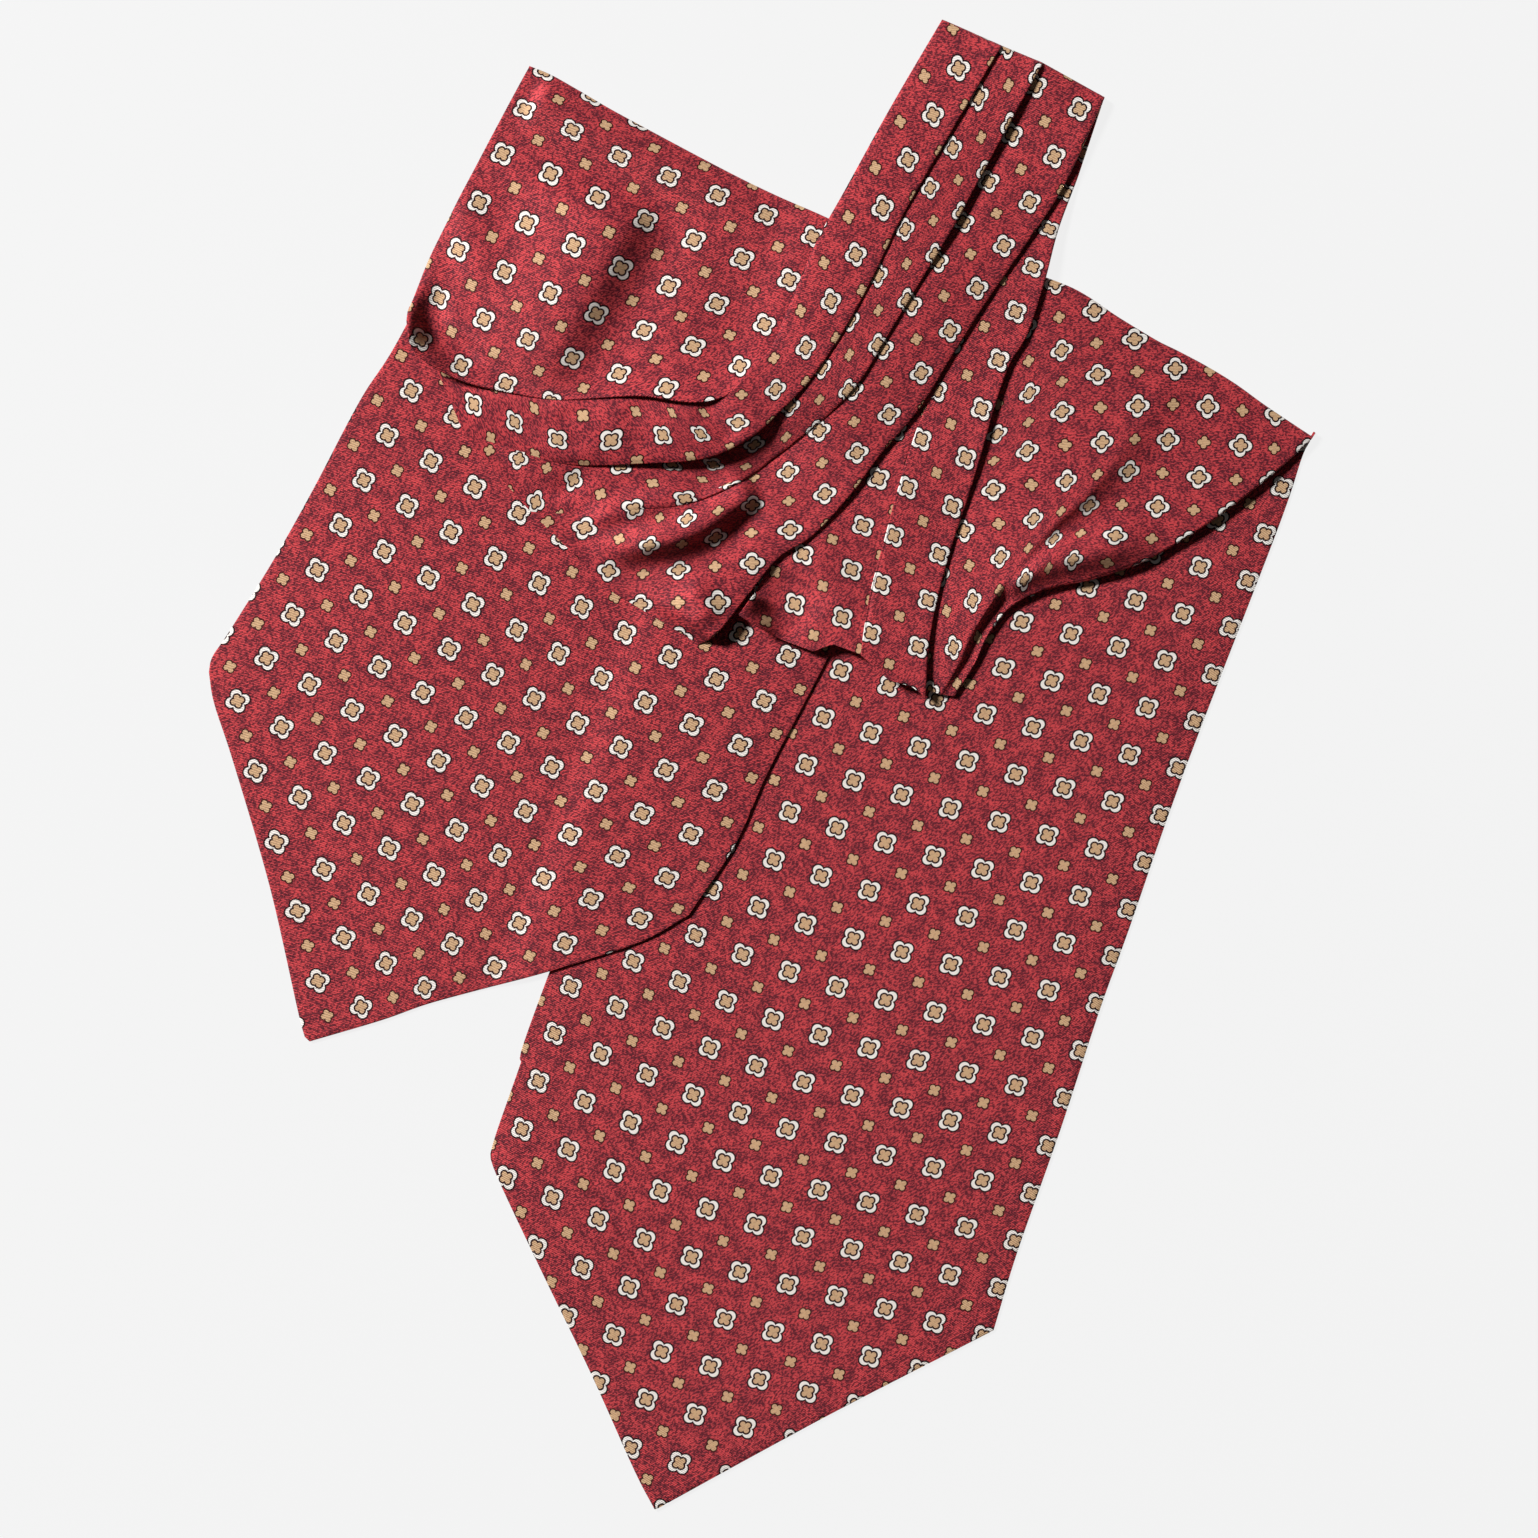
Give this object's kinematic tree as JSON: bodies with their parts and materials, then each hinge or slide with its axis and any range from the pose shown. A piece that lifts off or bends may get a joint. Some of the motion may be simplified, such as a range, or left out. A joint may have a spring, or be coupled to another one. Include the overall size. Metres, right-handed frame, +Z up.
{
  "type": "folded silk cravat",
  "caption": "Long cravat with two pointed blades and a pleated neckband, folded and laid flat with the band opening into a fan over the blades.",
  "frame": {"origin": "centre of the bounding box, on the surface the cravat lies on", "axes": "+Z up from that surface, +Y from the blades' points towards the folded neckband, +X to the viewer's right when +Y points away"},
  "size_m": [0.323, 0.436, 0.0089],
  "materials": {
    "printed_silk": "wine red silk twill with a soft sheen and a small repeat of white-edged four-petal flowers and tan florets"
  },
  "bodies": {
    "root": {"right_blade": "printed_silk", "right_fan": "printed_silk", "left_blade": "printed_silk", "left_panel": "printed_silk", "back_pleat_left": "printed_silk", "back_pleat_right": "printed_silk", "front_pleat_lower": "printed_silk", "front_pleat_middle": "printed_silk", "front_pleat_upper": "printed_silk"}
  },
  "joints": []
}
